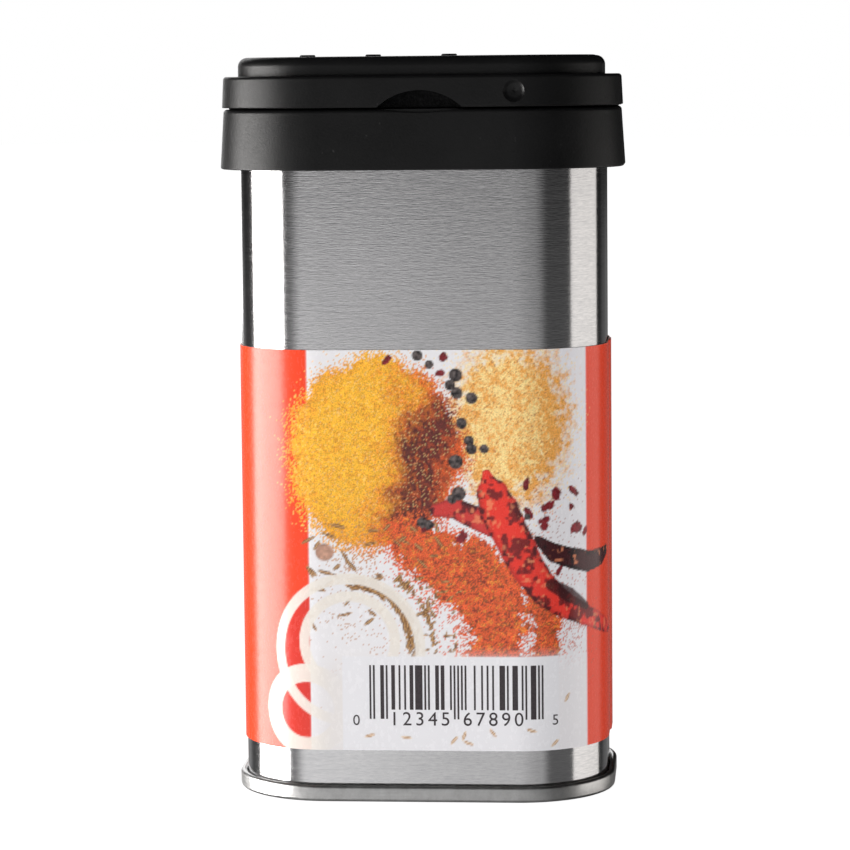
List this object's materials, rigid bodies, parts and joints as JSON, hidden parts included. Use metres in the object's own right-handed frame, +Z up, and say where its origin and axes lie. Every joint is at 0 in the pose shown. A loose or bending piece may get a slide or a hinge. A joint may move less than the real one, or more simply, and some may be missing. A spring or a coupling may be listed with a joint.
{
  "type": "spice tin",
  "caption": "Rounded rectangular steel spice tin with a double-seamed bottom, wrap-around paper label and press-on dispensing closure with hinged sifter and spoon flaps.",
  "frame": {"origin": "middle of the seam ring's foot, on the surface the tin stands on", "axes": "+Z up the tin, +X to the right, -Y towards the front, where the front flap's thumb notch is"},
  "size_m": [0.0732, 0.0508, 0.1338],
  "materials": {
    "steel": "bright tinplate with a fine grain brushed around the body",
    "gasket": "matte lining compound",
    "label": "semi-gloss coated paper, printed",
    "closure": "black polypropylene with a fine moulded texture"
  },
  "bodies": {
    "tin": {"can_body": "steel", "can_bottom": "steel", "seam_gasket": "gasket", "paper_label": "label"},
    "closure": {"closure_base": "closure", "front_hinge_left": "closure", "front_hinge_right": "closure", "rear_hinge_left": "closure", "rear_hinge_right": "closure"},
    "sifter_flap": {"front_flap": "closure"},
    "spoon_flap": {"rear_flap": "closure"}
  },
  "joints": [
    {"name": "closure_lift", "type": "slide", "parent": "tin", "child": "closure", "axis": [0, 0, 1], "range_m": [0, 0.03]},
    {"name": "front_flap_hinge", "type": "hinge", "parent": "closure", "child": "sifter_flap", "pos_m": [0, -0.0041, 0.1299], "axis": [-1, 0, 0], "range_deg": [0, 90], "deforming": ["front_hinge_left", "front_hinge_right"]},
    {"name": "rear_flap_hinge", "type": "hinge", "parent": "closure", "child": "spoon_flap", "pos_m": [0, 0.0041, 0.1299], "axis": [1, 0, 0], "range_deg": [0, 90], "deforming": ["rear_hinge_left", "rear_hinge_right"]}
  ]
}
